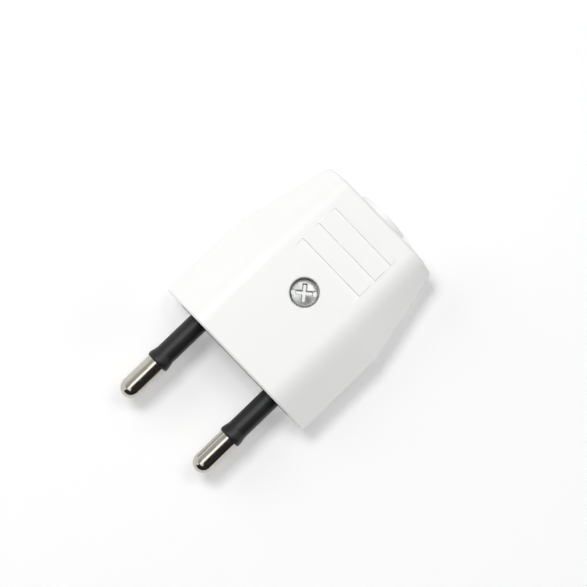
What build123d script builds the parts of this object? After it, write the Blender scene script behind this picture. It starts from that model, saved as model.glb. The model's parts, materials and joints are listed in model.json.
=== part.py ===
"""A flat two-pin mains plug that is opened with one screw, for wiring by hand.

Millimetres. X is across the plug, -Y the way the pins point, +Z up.
The origin is the middle of the front face, halfway between the pins.
"""

import os
from math import hypot

from build123d import *

os.makedirs("parts", exist_ok=True)

# Housing, outside
body_width = 35.6
body_thickness = 13.7
body_length = 37.0
straight_length = 18.5
top_width = 21.2
rear_width = 27.0
rear_thickness = 12.5
corner_radius = 5.5
rear_corner_radius = 4.0
front_edge = 0.3
rear_edge = 0.4
joint_land = 0.4
joint_groove = 0.12
taper_steps = 8
cavity_steps = 26

# Housing, inside
wall = 1.7
front_wall = 2.0
rear_wall = 1.8
fit_gap = 0.1

# Grip ribs on both flat sides
grip_count = 3
grip_first = 24.0
grip_pitch = 4.0
grip_width = 14.6
grip_depth = 0.14
grip_lip = 0.16
grip_draft = 0.16
grip_start = 19.2
grip_fade = 1.3
grip_band = 0.8

# Cord inlet
inlet_diameter = 7.0
collar_diameter = 10.5
collar_length = 1.0

# Contact pins
pin_spacing = 19.0
pin_reach = 19.0
pin_diameter = 4.0
pin_core_diameter = 3.0
pin_head_diameter = 6.0
pin_collar_length = 1.6
pin_groove_diameter = 4.4
pin_groove_length = 1.7
pin_head_length = 7.6
wire_hole_diameter = 2.6
wire_hole_depth = 6.0

# Insulating sleeves
sleeve_length = 10.6
sleeve_diameter = 4.0
sleeve_flare_diameter = 4.6
sleeve_flare_length = 2.2
sleeve_lip_length = 0.75
sleeve_lip_edge = 0.3
sleeve_end_diameter = 4.3

# Front plate that carries the pins
plate_width = 28.0
plate_height = 7.6
plate_corner_radius = 2.0
flange_thickness = 1.6

# Ribs that hold the pins
rib_inner_width = 12.6
rest_rib_thickness = 1.2
rest_rib_depth = 2.6

# Closing screw and nut
screw_y = 17.4
screw_diameter = 2.5
screw_head_diameter = 4.8
screw_head_height = 1.9
screw_head_crown = 0.5
screw_sink = 1.5
screw_past_nut = 0.5
screw_length = 9.4
recess_diameter = 5.5
recess_edge = 0.2
boss_width = 8.0
slot_width = 0.9
slot_depth = 0.8
slot_angle = 40.0
cross_width = 1.05
cross_length = 3.6
cross_depth = 1.2
cross_taper = 12.0
nut_flats = 5.0
nut_thickness = 2.0
nut_edge = 0.3

# Terminal screws
terminal_screw_diameter = 3.0
terminal_screw_length = 2.8
terminal_screw_rise = 0.4
terminal_slot_width = 0.6
terminal_slot_depth = 0.8

# Cord clamp
clamp_y = 28.5
clamp_screw_spacing = 13.6
clamp_bar_width = 4.8
clamp_ear_length = 2.3
clamp_ear_thickness = 2.0
clamp_crown = 1.2
clamp_pinch = 0.2
post_width = 4.6
post_height = 0.8
cradle_thickness = 2.0
cradle_drop = 0.3
clamp_screw_diameter = 2.2
clamp_screw_length = 6.5
clamp_head_diameter = 3.8
clamp_head_height = 1.4
clamp_slot_width = 0.7
clamp_slot_depth = 0.8

# Ledges that line up the two halves
ledge_start = 8.6
ledge_length = 7.8
ledge_height = 1.0
ledge_thickness = 0.9

# Sizes that follow from the ones above
half_thickness = body_thickness / 2
flange_back = front_wall + flange_thickness
collar_start = flange_back + fit_gap
groove_start = collar_start + pin_collar_length
head_start = groove_start + pin_groove_length
head_end = head_start + pin_head_length
rib_thickness = pin_groove_length - 2 * fit_gap
terminal_y = head_end - wire_hole_depth / 2
head_top = half_thickness - screw_sink
head_seat = head_top - screw_head_height
screw_tip = head_seat - screw_length
nut_seat = screw_tip + nut_thickness + screw_past_nut
clamp_top = post_height + clamp_ear_thickness
clamp_bar_length = clamp_screw_spacing + 2 * clamp_ear_length
grip_end = grip_first + (grip_count - 1) * grip_pitch + grip_fade
inlet_start = body_length - rear_wall
inlet_end = body_length + collar_length


def taper_at(y):
    """How far the housing has gone at y from its straight part, 0, to its rear end, 1."""
    return max(0.0, (y - straight_length) / (body_length - straight_length))


def section_at(y, inset):
    """One half of the housing's section at y, moved inwards by inset.

    Gives the half-width at the joint, the height of the upright land there, and the half-width
    and the height of the flat side.
    """
    half_width = (body_width + taper_at(y) * (rear_width - body_width)) / 2
    height = (body_thickness + taper_at(y) * (rear_thickness - body_thickness)) / 2
    run = half_width - top_width / 2
    rise = height - joint_land
    bevel = hypot(run, rise)
    land = joint_land - inset * (bevel - rise) / run
    joint = half_width - inset + min(0.0, land) * run / rise
    top = joint - (height - inset - max(0.0, land)) * run / rise
    return joint, max(0.0, land), top, height - inset


def section_plane(y, side):
    """Plane across the plug at y whose own upward axis points away from the joint."""
    return Plane(origin=(0, y, 0), x_dir=(1, 0, 0), z_dir=(0, -side, 0))


def half_section(y, inset, groove=0.0):
    """Draw one half of the housing's section with sharp corners, moved inwards by inset.

    A groove takes the edge off each side of the joint.
    """
    joint, land, top, height = section_at(y, inset)
    foot = [(joint - groove, 0), (joint, groove)] if groove > 0 else [(joint, 0)]
    if land > 0:
        foot.append((joint, land))
    right = [*foot, (top, height)]
    left = [(-x, z) for x, z in reversed(right)]
    Polygon(*right, *left, align=None)


def taper_stations(end, steps):
    """Where the walls that lean in towards the cord are drawn, from the bend up to just before the end."""
    return [straight_length + (end - straight_length) * k / steps for k in range(steps)]


def slope_height(y):
    """Height of the housing's flat side above the joint at y."""
    return section_at(y, 0)[3]


# Where the outside is drawn, with the inset there: the front edge, from the bend, the rear edge
outer_stations = [(0, front_edge), (front_edge, 0)]
for y in taper_stations(body_length - rear_edge, taper_steps):
    outer_stations.append((y, 0))
outer_stations += [(body_length - rear_edge, 0), (body_length, rear_edge)]

# What both halves of the housing share; side is 1 for the upper half and -1 for the lower one
halves = {}
for side in (1, -1):
    with BuildPart() as half:
        for y, inset in outer_stations:
            with BuildSketch(section_plane(y, side)):
                half_section(y, inset, joint_groove)
                radius = corner_radius + taper_at(y) * (rear_corner_radius - corner_radius)
                fillet(vertices().group_by(Axis.Y)[-1], radius - inset)
        loft(ruled=True)

        # Room inside
        for y in (front_wall, *taper_stations(inlet_start, cavity_steps), inlet_start):
            with BuildSketch(section_plane(y, side)):
                half_section(y, wall)
        loft(ruled=True, mode=Mode.SUBTRACT)

        # Window in the front wall for the pin plate
        with BuildSketch(section_plane(0, side)):
            RectangleRounded(plate_width + 2 * fit_gap, plate_height + 2 * fit_gap,
                             plate_corner_radius + fit_gap)
        extrude(amount=-side * front_wall, mode=Mode.SUBTRACT)

        # Grip: gentle falls towards the cord, steep faces towards the pins
        grip_plane = Plane(origin=(0, 0, 0), x_dir=(0, 1, 0), z_dir=(side, 0, 0))
        first = (grip_start, slope_height(grip_start))
        last = (grip_end, slope_height(grip_end))
        first_low = (first[0], first[1] - grip_band)
        last_low = (last[0], last[1] - grip_band)
        with BuildSketch(grip_plane):
            Polygon(first_low, last_low, (grip_end, body_thickness), (grip_start, body_thickness), align=None)
        extrude(amount=grip_width / 2, both=True, mode=Mode.SUBTRACT)
        with BuildSketch(grip_plane):
            with BuildLine():
                lip = first
                for k in range(grip_count):
                    step = grip_first + k * grip_pitch
                    foot = (step - grip_draft / 2, slope_height(step) - grip_depth)
                    middle = ((lip[0] + foot[0]) / 2, (lip[1] + foot[1]) / 2 + grip_lip / 2)
                    ThreePointArc(lip, middle, foot)
                    lip = (step + grip_draft / 2, slope_height(step) + grip_lip)
                    Line(foot, lip)
                Polyline(lip, last, last_low, first_low, first)
            make_face()
        extrude(amount=grip_width / 2, both=True)

        # Collar and hole of the cord inlet
        with BuildSketch(section_plane(inlet_end, side)):
            Circle(collar_diameter / 2)
            with Locations((0, -collar_diameter)):
                Rectangle(3 * collar_diameter, 2 * collar_diameter, mode=Mode.SUBTRACT)
        extrude(amount=side * (inlet_end - inlet_start))
        with BuildSketch(section_plane(inlet_end, side)):
            Circle(inlet_diameter / 2)
        extrude(amount=side * (inlet_end - inlet_start), mode=Mode.SUBTRACT)

        # Ribs in the grooves of the pins
        with BuildSketch(section_plane(groove_start + fit_gap, side)):
            half_section(groove_start, wall / 2)
            Rectangle(rib_inner_width, body_thickness, mode=Mode.SUBTRACT)
            with Locations((-pin_spacing / 2, 0), (pin_spacing / 2, 0)):
                Circle(pin_groove_diameter / 2 + fit_gap, mode=Mode.SUBTRACT)
        extrude(amount=-side * rib_thickness)

        # Boss of the closing screw
        with BuildSketch(Plane.XY):
            with Locations((0, screw_y)):
                Rectangle(boss_width, boss_width)
        extrude(amount=side * (half_thickness - wall / 2))
    halves[side] = half.part

with BuildPart() as upper_shell:
    add(halves[1])
    with BuildSketch(Plane.XY):
        with Locations((0, screw_y)):
            Circle(screw_diameter / 2 + 2 * fit_gap)
    extrude(amount=body_thickness, mode=Mode.SUBTRACT)
    with BuildSketch(Plane.XY.offset(head_seat)):
        with Locations((0, screw_y)):
            Circle(recess_diameter / 2)
    extrude(amount=body_thickness, mode=Mode.SUBTRACT)
    with Locations((0, screw_y, half_thickness)):
        Cone(recess_diameter / 2, recess_diameter / 2 + 2 * recess_edge, 2 * recess_edge, mode=Mode.SUBTRACT)

with BuildPart() as lower_shell:
    add(halves[-1])
    with BuildSketch(Plane.XY):
        with Locations((0, screw_y)):
            Circle(screw_diameter / 2 + 2 * fit_gap)
    extrude(amount=-body_thickness, mode=Mode.SUBTRACT)
    with BuildSketch(Plane.XY.offset(nut_seat)):
        with Locations((0, screw_y)):
            RegularPolygon(nut_flats / 2 + fit_gap, 6, major_radius=False)
    extrude(amount=-body_thickness, mode=Mode.SUBTRACT)

    with BuildSketch(section_plane(terminal_y - rest_rib_thickness / 2, -1)):
        half_section(terminal_y, wall / 2)
        Rectangle(rib_inner_width, body_thickness, mode=Mode.SUBTRACT)
        Rectangle(body_width, 2 * rest_rib_depth, mode=Mode.SUBTRACT)
        with Locations((-pin_spacing / 2, 0), (pin_spacing / 2, 0)):
            Circle(pin_head_diameter / 2, mode=Mode.SUBTRACT)
    extrude(amount=rest_rib_thickness)

    floor_depth = slope_height(clamp_y) - wall / 2
    with BuildSketch(Plane.XY.offset(post_height)):
        with Locations((-clamp_screw_spacing / 2, clamp_y), (clamp_screw_spacing / 2, clamp_y)):
            Rectangle(post_width, post_width)
    extrude(amount=-(post_height + floor_depth))
    with BuildSketch(section_plane(clamp_y - cradle_thickness / 2, -1)):
        with Locations((0, (cradle_drop + floor_depth) / 2)):
            Rectangle(clamp_screw_spacing, floor_depth - cradle_drop)
        Circle(inlet_diameter / 2, mode=Mode.SUBTRACT)
    extrude(amount=cradle_thickness)
    with BuildSketch(Plane.XY.offset(post_height)):
        with Locations((-clamp_screw_spacing / 2, clamp_y), (clamp_screw_spacing / 2, clamp_y)):
            Circle(clamp_screw_diameter / 2)
    extrude(amount=-(clamp_screw_length - clamp_ear_thickness + fit_gap), mode=Mode.SUBTRACT)

    joint, land, top, height = section_at(ledge_start, wall)
    lean = (joint - top) / height
    inner = joint - ledge_height * lean - 2 * fit_gap - ledge_thickness
    with BuildSketch(section_plane(ledge_start, 1)):
        for hand in (-1, 1):
            with BuildLine():
                Polyline((hand * (joint + wall / 4), 0), (hand * (joint - 2 * fit_gap), 0),
                         (hand * (joint - 2 * fit_gap - ledge_height * lean), ledge_height),
                         (hand * inner, ledge_height), (hand * inner, -ledge_height),
                         (hand * (joint - ledge_height * lean + wall / 4), -ledge_height), close=True)
            make_face()
    extrude(amount=-ledge_length)

with BuildPart() as pin_plate:
    with BuildSketch(section_plane(0, 1)):
        RectangleRounded(plate_width, plate_height, plate_corner_radius)
    extrude(amount=-front_wall)
    joint, land, top, height = section_at(front_wall, wall + fit_gap)
    with BuildSketch(section_plane(front_wall, 1)):
        with BuildLine():
            Polyline((joint, 0), (top, height), (-top, height), (-joint, 0), (-top, -height), (top, -height),
                     close=True)
        make_face()
    extrude(amount=-flange_thickness)
    with BuildSketch(section_plane(0, 1)):
        with Locations((-pin_spacing / 2, 0), (pin_spacing / 2, 0)):
            Circle(sleeve_diameter / 2)
    extrude(amount=-flange_back, mode=Mode.SUBTRACT)

with BuildPart() as closing_screw:
    with BuildSketch(section_plane(screw_y, 1)):
        with BuildLine():
            Polyline((0, head_top), (0, screw_tip), (screw_diameter / 2, screw_tip),
                     (screw_diameter / 2, head_seat), (screw_head_diameter / 2, head_seat),
                     (screw_head_diameter / 2, head_top - screw_head_crown), close=True)
        make_face()
    revolve(axis=Axis((0, screw_y, 0), (0, 0, 1)))
    head_plane = Plane(origin=(0, screw_y, head_top), x_dir=(1, 0, 0), z_dir=(0, 0, -1))
    with BuildSketch(head_plane):
        Rectangle(cross_length, cross_width, rotation=-slot_angle)
        Rectangle(cross_width, cross_length, rotation=-slot_angle)
    extrude(amount=cross_depth, taper=cross_taper, mode=Mode.SUBTRACT)
    with BuildSketch(head_plane):
        Rectangle(2 * screw_head_diameter, slot_width, rotation=-slot_angle)
    extrude(amount=slot_depth, mode=Mode.SUBTRACT)

with BuildPart() as closing_nut:
    with BuildSketch(Plane.XY.offset(nut_seat - nut_thickness)):
        with Locations((0, screw_y)):
            RegularPolygon(nut_flats / 2, 6, major_radius=False)
            Circle(screw_diameter / 2, mode=Mode.SUBTRACT)
    extrude(amount=nut_thickness)
    chamfer(edges().group_by(Axis.Z)[0].filter_by(GeomType.LINE), nut_edge)

with BuildPart() as cord_clamp:
    with BuildSketch(section_plane(clamp_y - clamp_bar_width / 2, 1)):
        with Locations((0, post_height + clamp_ear_thickness / 2)):
            Rectangle(clamp_bar_length, clamp_ear_thickness)
        Circle(inlet_diameter / 2 - clamp_pinch + clamp_crown)
        Circle(inlet_diameter / 2 - clamp_pinch, mode=Mode.SUBTRACT)
        with Locations((0, post_height - inlet_diameter)):
            Rectangle(clamp_bar_length, 2 * inlet_diameter, mode=Mode.SUBTRACT)
    extrude(amount=-clamp_bar_width)
    with BuildSketch(Plane.XY):
        with Locations((-clamp_screw_spacing / 2, clamp_y), (clamp_screw_spacing / 2, clamp_y)):
            Circle(clamp_screw_diameter / 2 + fit_gap)
    extrude(amount=body_thickness, mode=Mode.SUBTRACT)

upper_shell.part.label = "upper_shell"
export_step(upper_shell.part, "parts/upper_shell.step")
lower_shell.part.label = "lower_shell"
export_step(lower_shell.part, "parts/lower_shell.step")
pin_plate.part.label = "pin_plate"
export_step(pin_plate.part, "parts/pin_plate.step")
closing_screw.part.label = "closing_screw"
export_step(closing_screw.part, "parts/closing_screw.step")
closing_nut.part.label = "closing_nut"
export_step(closing_nut.part, "parts/closing_nut.step")
cord_clamp.part.label = "cord_clamp"
export_step(cord_clamp.part, "parts/cord_clamp.step")

for hand_name, hand in (("left", -1), ("right", 1)):
    pin_x = hand * pin_spacing / 2
    axis_plane = Plane(origin=(pin_x, 0, 0), x_dir=(0, 1, 0), z_dir=(0, 0, 1))
    pin_axis = Axis((pin_x, 0, 0), (0, 1, 0))

    with BuildPart() as pin:
        with BuildSketch(axis_plane):
            with BuildLine():
                tip = pin_diameter / 2 - pin_reach
                CenterArc((tip, 0), pin_diameter / 2, 90, 90)
                Polyline((tip, pin_diameter / 2), (-sleeve_length, pin_diameter / 2),
                         (-sleeve_length, pin_core_diameter / 2), (collar_start, pin_core_diameter / 2),
                         (collar_start, pin_head_diameter / 2), (groove_start, pin_head_diameter / 2),
                         (groove_start, pin_groove_diameter / 2), (head_start, pin_groove_diameter / 2),
                         (head_start, pin_head_diameter / 2), (head_end, pin_head_diameter / 2),
                         (head_end, 0), (-pin_reach, 0))
            make_face()
        revolve(axis=pin_axis)
        with BuildSketch(section_plane(head_end, 1)):
            with Locations((pin_x, 0)):
                Circle(wire_hole_diameter / 2)
        extrude(amount=wire_hole_depth, mode=Mode.SUBTRACT)
        with BuildSketch(Plane.XY):
            with Locations((pin_x, terminal_y)):
                Circle(terminal_screw_diameter / 2)
        extrude(amount=pin_head_diameter, mode=Mode.SUBTRACT)
    pin.part.label = f"{hand_name}_pin"
    export_step(pin.part, f"parts/{hand_name}_pin.step")

    with BuildPart() as sleeve:
        with BuildSketch(axis_plane):
            with BuildLine():
                Polyline((-sleeve_length, pin_core_diameter / 2), (-sleeve_length, sleeve_end_diameter / 2),
                         (sleeve_lip_edge - sleeve_length, sleeve_flare_diameter / 2),
                         (sleeve_lip_length - sleeve_length, sleeve_flare_diameter / 2),
                         (sleeve_flare_length - sleeve_length, sleeve_diameter / 2),
                         (collar_start, sleeve_diameter / 2), (collar_start, pin_core_diameter / 2),
                         close=True)
            make_face()
        revolve(axis=pin_axis)
    sleeve.part.label = f"{hand_name}_sleeve"
    export_step(sleeve.part, f"parts/{hand_name}_sleeve.step")

    with BuildPart() as terminal_screw:
        screw_top = pin_head_diameter / 2 + terminal_screw_rise
        with BuildSketch(Plane.XY.offset(screw_top)):
            with Locations((pin_x, terminal_y)):
                Circle(terminal_screw_diameter / 2)
        extrude(amount=-terminal_screw_length)
        with BuildSketch(Plane.XY.offset(screw_top)):
            with Locations((pin_x, terminal_y)):
                Rectangle(terminal_slot_width, 2 * terminal_screw_diameter)
        extrude(amount=-terminal_slot_depth, mode=Mode.SUBTRACT)
    terminal_screw.part.label = f"{hand_name}_terminal_screw"
    export_step(terminal_screw.part, f"parts/{hand_name}_terminal_screw.step")

    with BuildPart() as clamp_screw:
        clamp_x = hand * clamp_screw_spacing / 2
        with BuildSketch(Plane.XY.offset(clamp_top)):
            with Locations((clamp_x, clamp_y)):
                Circle(clamp_screw_diameter / 2)
        extrude(amount=-clamp_screw_length)
        with BuildSketch(Plane.XY.offset(clamp_top)):
            with Locations((clamp_x, clamp_y)):
                Circle(clamp_head_diameter / 2)
        extrude(amount=clamp_head_height)
        with BuildSketch(Plane.XY.offset(clamp_top + clamp_head_height)):
            with Locations((clamp_x, clamp_y)):
                Rectangle(clamp_slot_width, 2 * clamp_head_diameter)
        extrude(amount=-clamp_slot_depth, mode=Mode.SUBTRACT)
    clamp_screw.part.label = f"{hand_name}_clamp_screw"
    export_step(clamp_screw.part, f"parts/{hand_name}_clamp_screw.step")
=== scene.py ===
"""Looks, light and camera for a flat two-pin mains plug.

Metres, in the plug's own frame: X across the plug, -Y the way the pins point, +Z up,
the origin in the middle of the front face.
"""

import json
import math

import bmesh
import bpy
from mathutils import Matrix, Vector

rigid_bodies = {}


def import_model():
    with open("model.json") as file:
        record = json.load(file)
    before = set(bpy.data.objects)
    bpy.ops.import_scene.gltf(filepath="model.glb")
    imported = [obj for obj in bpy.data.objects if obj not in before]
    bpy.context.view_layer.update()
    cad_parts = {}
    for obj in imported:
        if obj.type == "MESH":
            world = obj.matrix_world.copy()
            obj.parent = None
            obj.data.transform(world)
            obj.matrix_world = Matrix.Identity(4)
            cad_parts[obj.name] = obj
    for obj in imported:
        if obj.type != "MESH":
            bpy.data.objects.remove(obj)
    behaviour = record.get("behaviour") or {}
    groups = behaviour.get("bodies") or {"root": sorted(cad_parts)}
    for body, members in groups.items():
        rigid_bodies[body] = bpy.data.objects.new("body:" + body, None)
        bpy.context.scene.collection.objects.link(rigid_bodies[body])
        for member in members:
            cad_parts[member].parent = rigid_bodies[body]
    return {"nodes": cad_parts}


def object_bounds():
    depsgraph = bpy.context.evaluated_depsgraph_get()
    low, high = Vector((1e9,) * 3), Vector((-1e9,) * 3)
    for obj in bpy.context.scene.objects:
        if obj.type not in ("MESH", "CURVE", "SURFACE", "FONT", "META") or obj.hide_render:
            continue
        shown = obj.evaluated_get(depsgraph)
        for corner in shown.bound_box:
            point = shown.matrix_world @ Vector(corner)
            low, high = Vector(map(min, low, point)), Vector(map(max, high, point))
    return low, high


# The start-up scene's objects go before the plug is loaded
for leftover in list(bpy.data.objects):
    bpy.data.objects.remove(leftover)
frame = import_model()
CAD_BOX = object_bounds()

bl_info = {
    "name": "Two-pin plug looks",
    "version": (1, 0, 0),
    "blender": (4, 5, 0),
    "location": "3D View > Sidebar > Plug",
    "description": "Finishes, studio light and camera for a flat two-pin mains plug",
    "category": "Object",
}

MM = 0.001
WHITE = "#FFFFFF"

# The image, the width of the film, and the nearest and farthest that the camera sees
IMAGE_PIXELS = 587
SENSOR_MM = 36.0
CLIP_START = 0.01
CLIP_END = 20.0

# How finely the rounded edges, the paper and the cloths are made
EDGE_SAMPLES = 8
PAPER_SEGMENTS = 96
CLOTH_STEPS = 24

# Octaves of a noise, and how strong its finer octaves are where they stand out
SMOOTH = 2.0
GRAINY = 3.0
BROKEN = 4.0
GRAIN_CONTRAST = 0.55
SPECK_CONTRAST = 0.6

# The span of a noise over which a finish goes from its glossiest to its dullest
NOISE_SPAN = (0.3, 0.7)
SPECK_SPAN = (0.35, 0.7)

# How far a pattern is drawn out along X, Y and Z
HOUSING_FLOW = (1.0, 3.0, 1.0)
SLEEVE_FLOW = (1.0, 4.0, 1.0)
TURNED_RINGS = (40.0, 1.0, 40.0)

# Cosine between the rounded normal and the true one where an edge begins, and where it is full
EDGE_BEGINS = 0.995
EDGE_FULL = 0.9

# Index of refraction of both plastics
PLASTIC_IOR = 1.53

# The paper lies a hair below the plug. Rays on their first bounce pass through it where they
# are shorter than the gap, so light reaches the face that rests on it
PAPER_DROP = 0.02 * MM
CONTACT_GAP = 3.0 * MM
FIRST_BOUNCE = 1.5

# The lamps, and whether gloss shows them
LAMPS = {
    "high_lamp": True,
    "rear_soft_box": True,
    "left_soft_box": False,
    "right_soft_box": False,
}


def linear(hex_colour):
    """An sRGB hex colour as linear red, green and blue."""
    parts = [int(hex_colour[i:i + 2], 16) / 255 for i in (1, 3, 5)]
    return tuple(c / 12.92 if c <= 0.04045 else ((c + 0.055) / 1.055) ** 2.4 for c in parts)


def opaque(colour):
    """A linear colour with full alpha, as a colour socket takes it."""
    return (*colour, 1.0)


def add_node(tree, kind, inputs=None, **settings):
    """Add a node with its settings; an input is a value, or another node's output to link."""
    node = tree.nodes.new(kind)
    for name, value in settings.items():
        setattr(node, name, value)
    for name, value in (inputs or {}).items():
        if isinstance(value, bpy.types.NodeSocket):
            tree.links.new(value, node.inputs[name])
        else:
            node.inputs[name].default_value = value
    return node


def empty_tree(holder):
    """The node tree of a material or a world, with nothing in it."""
    holder.use_nodes = True
    holder.node_tree.nodes.clear()
    return holder.node_tree


def millimetres(tree, stretch=(1.0, 1.0, 1.0)):
    """A piece's own coordinates in millimetres, each axis divided by a stretch."""
    place = add_node(tree, "ShaderNodeTexCoord")
    scale = tuple(1 / (MM * s) for s in stretch)
    scaled = add_node(tree, "ShaderNodeMapping", {"Vector": place.outputs["Object"], "Scale": scale})
    return scaled.outputs["Vector"]


def soft_edges(tree, radius):
    """The normal with edges rounded to a radius, and how near an edge is, from 0 to 1."""
    rounded = add_node(tree, "ShaderNodeBevel", {"Radius": radius}, samples=EDGE_SAMPLES)
    plain = add_node(tree, "ShaderNodeNewGeometry")
    match = add_node(tree, "ShaderNodeVectorMath", {
        0: rounded.outputs["Normal"], 1: plain.outputs["Normal"]}, operation="DOT_PRODUCT")
    edge = add_node(tree, "ShaderNodeMapRange", {
        "Value": match.outputs["Value"], "From Min": EDGE_BEGINS, "From Max": EDGE_FULL})
    return rounded.outputs["Normal"], edge.outputs["Result"]


def uneven_skin(tree, look, tint_noise, gloss_noise, relief_noise, span=NOISE_SPAN):
    """Colour, roughness and normal of a skin that isn't the same all over.

    The colour drifts between two tints and the gloss between two values, the edges are
    rounded and have a gloss of their own, and a fine relief covers it all.
    """
    tint = add_node(tree, "ShaderNodeMix", {
        "Factor": tint_noise.outputs["Fac"], "A": opaque(look.colour), "B": opaque(look.shade)},
        data_type="RGBA")
    gloss = add_node(tree, "ShaderNodeMapRange", {
        "Value": gloss_noise.outputs["Fac"], "From Min": span[0], "From Max": span[1],
        "To Min": look.glossiest, "To Max": look.dullest})
    normal, edge = soft_edges(tree, look.edge_radius)
    rubbed = add_node(tree, "ShaderNodeMix", {
        "Factor": edge, "A": gloss.outputs["Result"], "B": look.edge_roughness})
    relief = add_node(tree, "ShaderNodeBump", {
        "Height": relief_noise.outputs["Fac"], "Strength": look.relief, "Distance": look.grain_depth,
        "Normal": normal})
    return {
        "Base Color": tint.outputs["Result"],
        "Roughness": rubbed.outputs["Result"],
        "Normal": relief.outputs["Normal"],
    }


def moulded_white_abs(look):
    """White ABS from a polished tool.

    A dense opaque white with a soft sheen, and a faint unevenness where the melt flowed
    and the tool was stoned.
    """
    material = bpy.data.materials.new("moulded_white_abs")
    tree = empty_tree(material)
    flow = add_node(tree, "ShaderNodeTexNoise", {
        "Vector": millimetres(tree, HOUSING_FLOW), "Scale": MM / look.flow_size, "Detail": SMOOTH})
    grain = add_node(tree, "ShaderNodeTexNoise", {
        "Vector": millimetres(tree), "Scale": MM / look.grain_size, "Detail": GRAINY,
        "Roughness": GRAIN_CONTRAST})
    plastic = add_node(tree, "ShaderNodeBsdfPrincipled", {
        **uneven_skin(tree, look, flow, grain, grain), "IOR": PLASTIC_IOR})
    add_node(tree, "ShaderNodeOutputMaterial", {"Surface": plastic.outputs["BSDF"]})
    return material


def moulded_black_polyamide(look):
    """Black polyamide, moulded.

    A deep charcoal with a satin skin that catches a broad dull light along the sleeves.
    """
    material = bpy.data.materials.new("moulded_black_polyamide")
    tree = empty_tree(material)
    flow = add_node(tree, "ShaderNodeTexNoise", {
        "Vector": millimetres(tree, SLEEVE_FLOW), "Scale": MM / look.flow_size, "Detail": SMOOTH})
    grain = add_node(tree, "ShaderNodeTexNoise", {
        "Vector": millimetres(tree), "Scale": MM / look.grain_size, "Detail": GRAINY})
    plastic = add_node(tree, "ShaderNodeBsdfPrincipled", {
        **uneven_skin(tree, look, flow, grain, grain), "IOR": PLASTIC_IOR,
        "Specular IOR Level": look.gloss_level, "Coat Weight": look.coat,
        "Coat Roughness": look.coat_roughness})
    add_node(tree, "ShaderNodeOutputMaterial", {"Surface": plastic.outputs["BSDF"]})
    return material


def turned_nickel_plate(look):
    """Brass turned on a lathe, then nickel plated and tumbled.

    A warm bright grey mirror, broken by fine rings from the tool and by dull specks.
    """
    material = bpy.data.materials.new("turned_nickel_plate")
    tree = empty_tree(material)
    rings = add_node(tree, "ShaderNodeTexNoise", {
        "Vector": millimetres(tree, TURNED_RINGS), "Scale": MM / look.grain_size, "Detail": SMOOTH})
    specks = add_node(tree, "ShaderNodeTexNoise", {
        "Vector": millimetres(tree), "Scale": MM / look.flow_size, "Detail": BROKEN,
        "Roughness": SPECK_CONTRAST})
    metal = add_node(tree, "ShaderNodeBsdfPrincipled", {
        **uneven_skin(tree, look, specks, specks, rings, SPECK_SPAN), "Metallic": 1.0})
    add_node(tree, "ShaderNodeOutputMaterial", {"Surface": metal.outputs["BSDF"]})
    return material


def bright_zinc_plate(look):
    """Steel headed from wire and bright zinc plated.

    A cool silver, a little cloudy from the bath, with the fine grain of the struck head.
    """
    material = bpy.data.materials.new("bright_zinc_plate")
    tree = empty_tree(material)
    cloud = add_node(tree, "ShaderNodeTexNoise", {
        "Vector": millimetres(tree), "Scale": MM / look.flow_size, "Detail": GRAINY})
    grain = add_node(tree, "ShaderNodeTexNoise", {
        "Vector": millimetres(tree), "Scale": MM / look.grain_size, "Detail": SMOOTH})
    metal = add_node(tree, "ShaderNodeBsdfPrincipled", {
        **uneven_skin(tree, look, cloud, cloud, grain), "Metallic": 1.0})
    add_node(tree, "ShaderNodeOutputMaterial", {"Surface": metal.outputs["BSDF"]})
    return material


def seen_directly(tree):
    """1 for rays from the camera, a mirror or glass, and 0 for the rays that carry light."""
    path = add_node(tree, "ShaderNodeLightPath")
    mirror = add_node(tree, "ShaderNodeMath", {
        0: path.outputs["Is Camera Ray"], 1: path.outputs["Is Glossy Ray"]}, operation="MAXIMUM")
    glass = add_node(tree, "ShaderNodeMath", {
        0: mirror.outputs["Value"], 1: path.outputs["Is Transmission Ray"]}, operation="MAXIMUM")
    return glass.outputs["Value"]


def paper_cleared(tree, studio):
    """How clear the paper is, from 0 to 1: far away, from underneath, and against the plug."""
    place = add_node(tree, "ShaderNodeTexCoord")
    away = add_node(tree, "ShaderNodeVectorMath", {0: place.outputs["Object"]}, operation="LENGTH")
    faded = add_node(tree, "ShaderNodeMapRange", {
        "Value": away.outputs["Value"], "From Min": studio.fade_start, "From Max": studio.paper_reach},
        interpolation_type="SMOOTHSTEP")
    path = add_node(tree, "ShaderNodeLightPath")
    near = add_node(tree, "ShaderNodeMath", {
        0: path.outputs["Ray Length"], 1: CONTACT_GAP}, operation="LESS_THAN")
    bounces = add_node(tree, "ShaderNodeMath", {
        0: path.outputs["Ray Depth"], 1: path.outputs["Is Shadow Ray"]}, operation="ADD")
    first = add_node(tree, "ShaderNodeMath", {
        0: bounces.outputs["Value"], 1: FIRST_BOUNCE}, operation="LESS_THAN")
    touching = add_node(tree, "ShaderNodeMath", {
        0: near.outputs["Value"], 1: first.outputs["Value"]}, operation="MULTIPLY")
    side = add_node(tree, "ShaderNodeNewGeometry")
    under = add_node(tree, "ShaderNodeMath", {
        0: touching.outputs["Value"], 1: side.outputs["Backfacing"]}, operation="MAXIMUM")
    cleared = add_node(tree, "ShaderNodeMath", {
        0: faded.outputs["Result"], 1: under.outputs["Value"]}, operation="MAXIMUM")
    return cleared.outputs["Value"]


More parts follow.
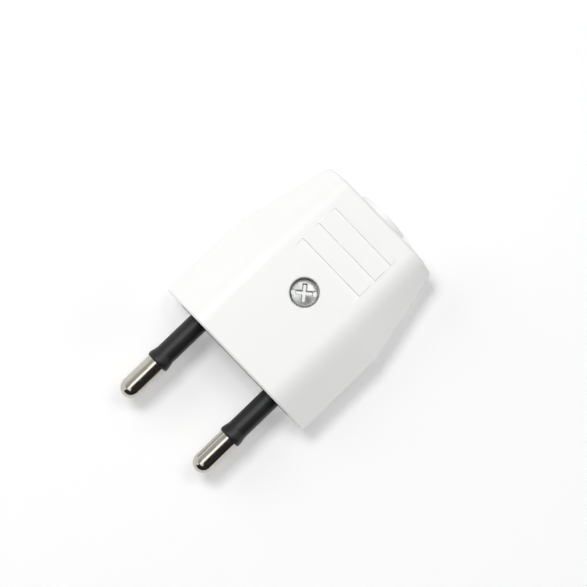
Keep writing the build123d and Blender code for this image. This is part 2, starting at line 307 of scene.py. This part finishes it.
def white_paper(studio):
    """Smooth white background paper.

    Matt, faintly uneven from its fibres, and lifted to white where it is looked at. It fades
    out far from the plug and is clear from underneath, so the plug shows from below too.
    """
    material = bpy.data.materials.new("white_paper")
    tree = empty_tree(material)
    fibres = add_node(tree, "ShaderNodeTexNoise", {
        "Vector": millimetres(tree), "Scale": MM / studio.fibre_size, "Detail": SMOOTH})
    tint = add_node(tree, "ShaderNodeMix", {
        "Factor": fibres.outputs["Fac"], "A": opaque(studio.paper), "B": opaque(studio.paper_shade)},
        data_type="RGBA")
    paper = add_node(tree, "ShaderNodeBsdfDiffuse", {"Color": tint.outputs["Result"]})
    lift = add_node(tree, "ShaderNodeMath", {
        0: seen_directly(tree), 1: studio.paper_lift}, operation="MULTIPLY")
    glow = add_node(tree, "ShaderNodeEmission", {"Strength": lift.outputs["Value"]})
    lifted = add_node(tree, "ShaderNodeAddShader", {0: paper.outputs["BSDF"], 1: glow.outputs["Emission"]})
    clear = add_node(tree, "ShaderNodeBsdfTransparent", {"Color": opaque(linear(WHITE))})
    sheet = add_node(tree, "ShaderNodeMixShader", {
        0: paper_cleared(tree, studio), 1: lifted.outputs["Shader"], 2: clear.outputs["BSDF"]})
    add_node(tree, "ShaderNodeOutputMaterial", {"Surface": sheet.outputs["Shader"]})
    return material


def black_cloth(studio):
    """Matt black cloth with an uneven nap."""
    material = bpy.data.materials.new("black_cloth")
    tree = empty_tree(material)
    nap = add_node(tree, "ShaderNodeTexNoise", {
        "Vector": millimetres(tree), "Scale": MM / studio.nap_size, "Detail": SMOOTH})
    tint = add_node(tree, "ShaderNodeMix", {
        "Factor": nap.outputs["Fac"], "A": opaque(studio.cloth), "B": opaque(studio.cloth_shade)},
        data_type="RGBA")
    cloth = add_node(tree, "ShaderNodeBsdfDiffuse", {"Color": tint.outputs["Result"]})
    add_node(tree, "ShaderNodeOutputMaterial", {"Surface": cloth.outputs["BSDF"]})
    return material


def lit_card(left, right, left_level, right_level):
    """A lit card whose light changes evenly from its left edge to its right edge."""
    material = bpy.data.materials.new("lit_card")
    tree = empty_tree(material)
    place = add_node(tree, "ShaderNodeTexCoord")
    across = add_node(tree, "ShaderNodeSeparateXYZ", {"Vector": place.outputs["Object"]})
    level = add_node(tree, "ShaderNodeMapRange", {
        "Value": across.outputs["X"], "From Min": left, "From Max": right,
        "To Min": left_level, "To Max": right_level})
    card = add_node(tree, "ShaderNodeEmission", {"Strength": level.outputs["Result"]})
    add_node(tree, "ShaderNodeOutputMaterial", {"Surface": card.outputs["Emission"]})
    return material


def white_walls(studio):
    """Walls that look white, and give an even light with more of it from below."""
    world = bpy.data.worlds.new("studio_walls")
    tree = empty_tree(world)
    level = add_node(tree, "ShaderNodeMapRange", {
        "Value": seen_directly(tree), "To Min": studio.ambient, "To Max": 1.0})
    place = add_node(tree, "ShaderNodeTexCoord")
    height = add_node(tree, "ShaderNodeSeparateXYZ", {"Vector": place.outputs["Generated"]})
    below = add_node(tree, "ShaderNodeMath", {0: height.outputs["Z"], 1: 0.0}, operation="LESS_THAN")
    under = add_node(tree, "ShaderNodeMath", {
        0: below.outputs["Value"], 1: studio.under_light}, operation="MULTIPLY")
    strength = add_node(tree, "ShaderNodeMath", {
        0: level.outputs["Result"], 1: under.outputs["Value"]}, operation="MAXIMUM")
    walls = add_node(tree, "ShaderNodeBackground", {
        "Color": opaque(linear(WHITE)), "Strength": strength.outputs["Value"]})
    add_node(tree, "ShaderNodeOutputWorld", {"Surface": walls.outputs["Background"]})
    return world


def direction(azimuth, elevation):
    """A unit vector from its turn from +X and its height above the floor."""
    level = math.cos(elevation)
    return Vector((level * math.cos(azimuth), level * math.sin(azimuth), math.sin(elevation)))


def finish_nodes(names, material):
    """Give pieces of the plug a material."""
    for name in names:
        piece = frame["nodes"][name]
        piece.data.materials.clear()
        piece.data.materials.append(material)


def colour_property(name, description, hex_colour):
    """A colour that a user can change."""
    return bpy.props.FloatVectorProperty(
        name=name, description=description, subtype="COLOR", size=3, min=0.0, max=1.0,
        default=linear(hex_colour))


def factor_property(name, description, share):
    """A share from 0 to 1 that a user can change."""
    return bpy.props.FloatProperty(
        name=name, description=description, subtype="FACTOR", min=0.0, max=1.0, default=share)


def length_property(name, description, millimetre_size):
    """A length that a user can change, given here in millimetres."""
    return bpy.props.FloatProperty(
        name=name, description=description, unit="LENGTH", precision=6, min=0.0,
        default=millimetre_size * MM)


def place_property(name, description, millimetre_place):
    """A place along an axis that a user can change, given here in millimetres."""
    return bpy.props.FloatProperty(
        name=name, description=description, unit="LENGTH", precision=6, default=millimetre_place * MM)


def angle_property(name, description, degrees):
    """An angle that a user can change, given here in degrees."""
    return bpy.props.FloatProperty(
        name=name, description=description, subtype="ANGLE", default=math.radians(degrees))


def level_property(name, description, level):
    """A strength of light that a user can change; 1 is white."""
    return bpy.props.FloatProperty(name=name, description=description, min=0.0, default=level)


def power_property(name, description, watts):
    """The power of a lamp that a user can change."""
    return bpy.props.FloatProperty(
        name=name, description=description, unit="POWER", min=0.0, default=watts)


class WhiteAbsLook(bpy.types.PropertyGroup):
    """The white moulding of the housing."""

    colour: colour_property("Colour", "Main white of the moulding", "#F4F4F3")
    shade: colour_property("Shade", "White where the melt flowed last", "#F1F1F0")
    glossiest: factor_property("Glossiest", "Roughness where the skin is glossiest", 0.40)
    dullest: factor_property("Dullest", "Roughness where the skin is dullest", 0.50)
    edge_roughness: factor_property("Edge roughness", "Roughness of the edges, rubbed smooth", 0.35)
    flow_size: length_property("Flow size", "Size of the patches that the melt leaves", 9.0)
    grain_size: length_property("Grain size", "Size of the tool's grain, drawn coarse enough to show", 0.4)
    grain_depth: length_property("Grain depth", "Depth of the tool's grain", 0.006)
    relief: factor_property("Relief", "How much of the grain's depth shows", 0.35)
    edge_radius: length_property("Edge radius", "Rounding of the edges", 0.1)


class BlackPolyamideLook(bpy.types.PropertyGroup):
    """The black moulding of the sleeves and the front plate."""

    colour: colour_property("Colour", "Main black of the moulding", "#101011")
    shade: colour_property("Shade", "Black where the melt flowed last", "#151516")
    glossiest: factor_property("Glossiest", "Roughness where the skin is glossiest", 0.35)
    dullest: factor_property("Dullest", "Roughness where the skin is dullest", 0.49)
    edge_roughness: factor_property("Edge roughness", "Roughness of the edges, rubbed smooth", 0.30)
    gloss_level: factor_property("Gloss level", "Strength of the skin's own reflection", 0.3)
    coat: factor_property("Coat", "Share of a smoother skin on top", 0.1)
    coat_roughness: factor_property("Coat roughness", "Roughness of the smoother skin", 0.35)
    flow_size: length_property("Flow size", "Size of the patches that the melt leaves", 3.0)
    grain_size: length_property("Grain size", "Size of the tool's grain, drawn coarse enough to show", 0.3)
    grain_depth: length_property("Grain depth", "Depth of the tool's grain", 0.012)
    relief: factor_property("Relief", "How much of the grain's depth shows", 0.5)
    edge_radius: length_property("Edge radius", "Rounding of the edges", 0.1)


class NickelLook(bpy.types.PropertyGroup):
    """The plating of the two contact pins."""

    colour: colour_property("Colour", "Main colour of the plating", "#CCC8C0")
    shade: colour_property("Shade", "Colour of the duller specks", "#B8B3A9")
    glossiest: factor_property("Glossiest", "Roughness between the specks", 0.07)
    dullest: factor_property("Dullest", "Roughness of the dullest specks", 0.16)
    edge_roughness: factor_property("Edge roughness", "Roughness of the edges, dulled by use", 0.20)
    flow_size: length_property("Speck size", "Size of the dull specks", 0.9)
    grain_size: length_property("Ring spacing", "Spacing of the rings, drawn coarse enough to show", 0.25)
    grain_depth: length_property("Ring depth", "Depth of the turned rings", 0.003)
    relief: factor_property("Relief", "How much of the rings' depth shows", 0.4)
    edge_radius: length_property("Edge radius", "Rounding of the edges", 0.06)


class ZincLook(bpy.types.PropertyGroup):
    """The plating of the screws and the nut."""

    colour: colour_property("Colour", "Main colour of the plating", "#C2C3C1")
    shade: colour_property("Shade", "Colour of the cloudy parts", "#A6A8A6")
    glossiest: factor_property("Glossiest", "Roughness of the clear parts", 0.24)
    dullest: factor_property("Dullest", "Roughness of the cloudy parts", 0.36)
    edge_roughness: factor_property("Edge roughness", "Roughness of the edges, dulled by the driver", 0.40)
    flow_size: length_property("Cloud size", "Size of the cloudy parts", 1.2)
    grain_size: length_property("Grain size", "Size of the metal's grain, drawn coarse enough to show", 0.25)
    grain_depth: length_property("Grain depth", "Depth of the metal's grain", 0.012)
    relief: factor_property("Relief", "How much of the grain's depth shows", 0.4)
    edge_radius: length_property("Edge radius", "Rounding of the edges", 0.06)


class StudioLook(bpy.types.PropertyGroup):
    """The paper, the lights and the camera."""

    paper: colour_property("Paper", "Main white of the background paper", "#FDFDFD")
    paper_shade: colour_property("Paper shade", "White of its denser fibres", "#FBFBFB")
    fibre_size: length_property("Fibre size", "Size of the clumps of fibres", 2.0)
    paper_lift: level_property("Paper lift", "Light added to the paper where it is looked at", 0.085)
    paper_reach: length_property("Paper reach", "Radius of the paper", 600.0)
    fade_start: length_property("Fade start", "Where the paper begins to fade out", 120.0)

    ambient: level_property("Ambient", "Light from all round", 0.25)
    under_light: level_property("Under light", "Light from below, for the resting face", 0.75)
    lamp_distance: length_property("Lamp distance", "From the plug to the lamps", 700.0)
    high_lamp_power: power_property("High lamp power", "Power of the lamp high on the left", 2.1)
    high_lamp_size: length_property("High lamp size", "Side of the high lamp", 200.0)
    high_lamp_azimuth: angle_property("High lamp azimuth", "Turn of the high lamp from +X", 175.0)
    high_lamp_elevation: angle_property("High lamp elevation", "Height of the high lamp", 67.0)
    rear_soft_box_power: power_property("Rear box power", "Power of the box behind the cord inlet", 0.68)
    rear_soft_box_size: length_property("Rear box size", "Side of the rear soft box", 200.0)
    rear_soft_box_azimuth: angle_property("Rear box azimuth", "Turn of the rear soft box from +X", 90.0)
    rear_soft_box_elevation: angle_property("Rear box elevation", "Height of the rear soft box", 70.0)
    left_soft_box_power: power_property("Left box power", "Power of the left soft box", 1.52)
    left_soft_box_size: length_property("Left box size", "Side of the left soft box", 550.0)
    left_soft_box_azimuth: angle_property("Left box azimuth", "Turn of the left soft box from +X", 195.0)
    left_soft_box_elevation: angle_property("Left box elevation", "Height of the left soft box", 30.0)
    right_soft_box_power: power_property("Right box power", "Power of the low soft box on the right", 0.92)
    right_soft_box_size: length_property("Right box size", "Side of the right soft box", 400.0)
    right_soft_box_azimuth: angle_property("Right box azimuth", "Turn of the right soft box from +X", 10.0)
    right_soft_box_elevation: angle_property("Right box elevation", "Height of the right soft box", 18.0)

    cloth: colour_property("Dark cloth", "Main black of the cloths that metal mirrors", "#303030")
    cloth_shade: colour_property("Cloth shade", "Black where the nap is brushed", "#383838")
    nap_size: length_property("Nap size", "Size of the brushed patches", 50.0)
    cloth_radius: length_property("Cloth radius", "From the plug to the dark cloths", 600.0)
    cloth_start: angle_property("Cloth start", "Turn of the front cloth's first edge from +X", -110.0)
    cloth_middle: angle_property("Cloth middle", "Turn from +X where the two cloths meet", -50.0)
    cloth_end: angle_property("Cloth end", "Turn of the right cloth's last edge from +X", 15.0)
    cloth_top: angle_property("Cloth top", "Height of the right cloth's upper edge", 88.0)
    front_cloth_top: angle_property("Front cloth top", "Height of the front cloth's upper edge", 50.0)

    card_height: length_property("Card height", "Height of the overhead cards", 500.0)
    card_reach: length_property("Card reach", "How far the cards go in Y, both ways", 600.0)
    card_left: place_property("Card left", "Where the fading card starts in X", -1200.0)
    card_right: place_property("Card right", "Where the fading card ends in X", -200.0)
    card_bright: level_property("Card bright", "Light of the fading card's left edge", 0.8)
    card_dark: level_property("Card dark", "Light of the fading card's right edge", 0.36)
    strip_right: place_property("Strip right", "Where the bright strip card ends in X", -15.0)
    strip_level: level_property("Strip level", "Light of the bright strip card", 1.7)

    eye: bpy.props.FloatVectorProperty(
        name="Eye", description="Where the camera stands", subtype="TRANSLATION", size=3,
        default=(0.0, -0.008, 0.400))
    target: bpy.props.FloatVectorProperty(
        name="Target", description="What the middle of the image shows", subtype="TRANSLATION", size=3,
        default=(-0.00129, 0.01623, 0.0))
    roll: angle_property("Roll", "Turn of the image's right from +X to +Y", 46.13)
    focal_pixels: bpy.props.FloatProperty(
        name="Focal length", description="Focal length in pixels of the image", subtype="PIXEL", min=1.0,
        default=2188.0)


class PLUG_OT_finish_housing(bpy.types.Operator):
    """Give the two halves of the housing and the cord clamp their white moulding"""

    bl_idname = "plug.finish_housing"
    bl_label = "Finish the housing"

    def execute(self, context):
        material = moulded_white_abs(context.scene.plug_white)
        finish_nodes(("upper_shell", "lower_shell", "cord_clamp"), material)
        return {"FINISHED"}


class PLUG_OT_finish_black_parts(bpy.types.Operator):
    """Give the front plate and the sleeves of the pins their black moulding"""

    bl_idname = "plug.finish_black_parts"
    bl_label = "Finish the plate and sleeves"

    def execute(self, context):
        material = moulded_black_polyamide(context.scene.plug_black)
        finish_nodes(("pin_plate", "left_sleeve", "right_sleeve"), material)
        return {"FINISHED"}


class PLUG_OT_finish_pins(bpy.types.Operator):
    """Give the contact pins their nickel plating"""

    bl_idname = "plug.finish_pins"
    bl_label = "Finish the pins"

    def execute(self, context):
        material = turned_nickel_plate(context.scene.plug_nickel)
        finish_nodes(("left_pin", "right_pin"), material)
        return {"FINISHED"}


class PLUG_OT_finish_screws(bpy.types.Operator):
    """Give the closing screw, its nut and the small screws inside their zinc plating"""

    bl_idname = "plug.finish_screws"
    bl_label = "Finish the screws"

    def execute(self, context):
        material = bright_zinc_plate(context.scene.plug_zinc)
        names = ("closing_screw", "closing_nut", "left_terminal_screw", "right_terminal_screw",
                 "left_clamp_screw", "right_clamp_screw")
        finish_nodes(names, material)
        return {"FINISHED"}


class PLUG_OT_build_studio(bpy.types.Operator):
    """Lay the paper, hang the cloths and cards, set the lights and place the camera"""

    bl_idname = "plug.build_studio"
    bl_label = "Build the studio"

    def execute(self, context):
        scene = context.scene
        studio = scene.plug_studio
        self.lay_paper(scene, studio)
        self.hang_cloth(scene, studio, "right_cloth", studio.cloth_middle, studio.cloth_end, studio.cloth_top)
        self.hang_cloth(scene, studio, "front_cloth", studio.cloth_start, studio.cloth_middle,
                        studio.front_cloth_top)
        self.hang_card(scene, studio, "fading_card", studio.card_left, studio.card_right,
                       studio.card_bright, studio.card_dark)
        self.hang_card(scene, studio, "strip_card", studio.card_right, studio.strip_right,
                       studio.strip_level, studio.strip_level)
        for name, shown in LAMPS.items():
            self.add_lamp(scene, studio, name, shown)
        scene.world = white_walls(studio)
        self.place_camera(scene, studio)
        scene.view_settings.view_transform = "Standard"
        return {"FINISHED"}

    def add_to_stage(self, scene, mesh, height, material):
        """Put a mesh on the stage at a height, under its own name."""
        mesh.materials.append(material)
        piece = bpy.data.objects.new(mesh.name, mesh)
        piece.location = (0.0, 0.0, height)
        scene.collection.objects.link(piece)
        return piece

    def lay_paper(self, scene, studio):
        """A wide round sheet of paper under the plug."""
        mesh = bpy.data.meshes.new("paper")
        shape = bmesh.new()
        bmesh.ops.create_circle(shape, cap_ends=True, segments=PAPER_SEGMENTS, radius=studio.paper_reach)
        shape.to_mesh(mesh)
        shape.free()
        self.add_to_stage(scene, mesh, CAD_BOX[0].z - PAPER_DROP, white_paper(studio))

    def hang_cloth(self, scene, studio, name, start, end, top):
        """A dark curved cloth that stands on the floor, which only mirrors see."""
        mesh = bpy.data.meshes.new(name)
        shape = bmesh.new()
        rows = []
        for j in range(CLOTH_STEPS + 1):
            height = top * j / CLOTH_STEPS
            row = []
            for i in range(CLOTH_STEPS + 1):
                turn = start + (end - start) * i / CLOTH_STEPS
                row.append(shape.verts.new(studio.cloth_radius * direction(turn, height)))
            rows.append(row)
        for low, high in zip(rows, rows[1:]):
            for i in range(CLOTH_STEPS):
                shape.faces.new((low[i], low[i + 1], high[i + 1], high[i]))
        shape.to_mesh(mesh)
        shape.free()
        self.show_in_mirrors(self.add_to_stage(scene, mesh, CAD_BOX[0].z, black_cloth(studio)))

    def hang_card(self, scene, studio, name, left, right, left_level, right_level):
        """A lit card above the plug, which only mirrors see."""
        reach = studio.card_reach
        corners = [(left, reach, 0.0), (right, reach, 0.0), (right, -reach, 0.0), (left, -reach, 0.0)]
        mesh = bpy.data.meshes.new(name)
        mesh.from_pydata(corners, [], [(0, 1, 2, 3)])
        material = lit_card(left, right, left_level, right_level)
        self.show_in_mirrors(self.add_to_stage(scene, mesh, studio.card_height, material))

    def show_in_mirrors(self, piece):
        """Hide a piece of the stage from everything but mirrors."""
        piece.visible_camera = False
        piece.visible_diffuse = False
        piece.visible_shadow = False
        piece.visible_transmission = False

    def add_lamp(self, scene, studio, name, shown):
        """A square lamp that faces the plug, shown in gloss or not."""
        light = bpy.data.lights.new(name, "AREA")
        light.shape = "SQUARE"
        light.size = getattr(studio, f"{name}_size")
        light.energy = getattr(studio, f"{name}_power")
        lamp = bpy.data.objects.new(name, light)
        way = direction(getattr(studio, f"{name}_azimuth"), getattr(studio, f"{name}_elevation"))
        lamp.location = (CAD_BOX[0] + CAD_BOX[1]) / 2 + way * studio.lamp_distance
        lamp.rotation_mode = "QUATERNION"
        lamp.rotation_quaternion = (-way).to_track_quat("-Z", "Y")
        lamp.visible_glossy = shown
        scene.collection.objects.link(lamp)

    def place_camera(self, scene, studio):
        """A long lens almost straight above the plug, turned about its own axis."""
        data = bpy.data.cameras.new("camera")
        data.sensor_width = SENSOR_MM
        data.lens = studio.focal_pixels / IMAGE_PIXELS * SENSOR_MM
        data.clip_start = CLIP_START
        data.clip_end = CLIP_END
        eye = Vector(studio.eye)
        back = (eye - Vector(studio.target)).normalized()
        level = Vector((math.cos(studio.roll), math.sin(studio.roll), 0.0))
        right = (level - back * level.dot(back)).normalized()
        turn = Matrix((right, back.cross(right), back)).transposed()
        camera = bpy.data.objects.new("camera", data)
        camera.matrix_world = Matrix.Translation(eye) @ turn.to_4x4()
        scene.collection.objects.link(camera)
        scene.camera = camera


class PLUG_PT_looks(bpy.types.Panel):
    """Finishes and studio of the plug"""

    bl_idname = "PLUG_PT_looks"
    bl_label = "Two-pin plug"
    bl_space_type = "VIEW_3D"
    bl_region_type = "UI"
    bl_category = "Plug"

    def draw(self, context):
        for group, operator in STEPS:
            box = self.layout.box()
            look = getattr(context.scene, group)
            for name in look.__annotations__:
                box.prop(look, name)
            box.operator(operator)


LOOKS = {
    "plug_white": WhiteAbsLook,
    "plug_black": BlackPolyamideLook,
    "plug_nickel": NickelLook,
    "plug_zinc": ZincLook,
    "plug_studio": StudioLook,
}
STEPS = (
    ("plug_white", "plug.finish_housing"),
    ("plug_black", "plug.finish_black_parts"),
    ("plug_nickel", "plug.finish_pins"),
    ("plug_zinc", "plug.finish_screws"),
    ("plug_studio", "plug.build_studio"),
)
OPERATORS = (
    PLUG_OT_finish_housing,
    PLUG_OT_finish_black_parts,
    PLUG_OT_finish_pins,
    PLUG_OT_finish_screws,
    PLUG_OT_build_studio,
)
CLASSES = (*LOOKS.values(), *OPERATORS, PLUG_PT_looks)


def register():
    for made in CLASSES:
        bpy.utils.register_class(made)
    for name, look in LOOKS.items():
        setattr(bpy.types.Scene, name, bpy.props.PointerProperty(type=look))


def unregister():
    for name in LOOKS:
        delattr(bpy.types.Scene, name)
    for made in reversed(CLASSES):
        bpy.utils.unregister_class(made)


def main():
    """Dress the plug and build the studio."""
    register()
    bpy.ops.plug.finish_housing()
    bpy.ops.plug.finish_black_parts()
    bpy.ops.plug.finish_pins()
    bpy.ops.plug.finish_screws()
    bpy.ops.plug.build_studio()


if __name__ == "__main__":
    main()
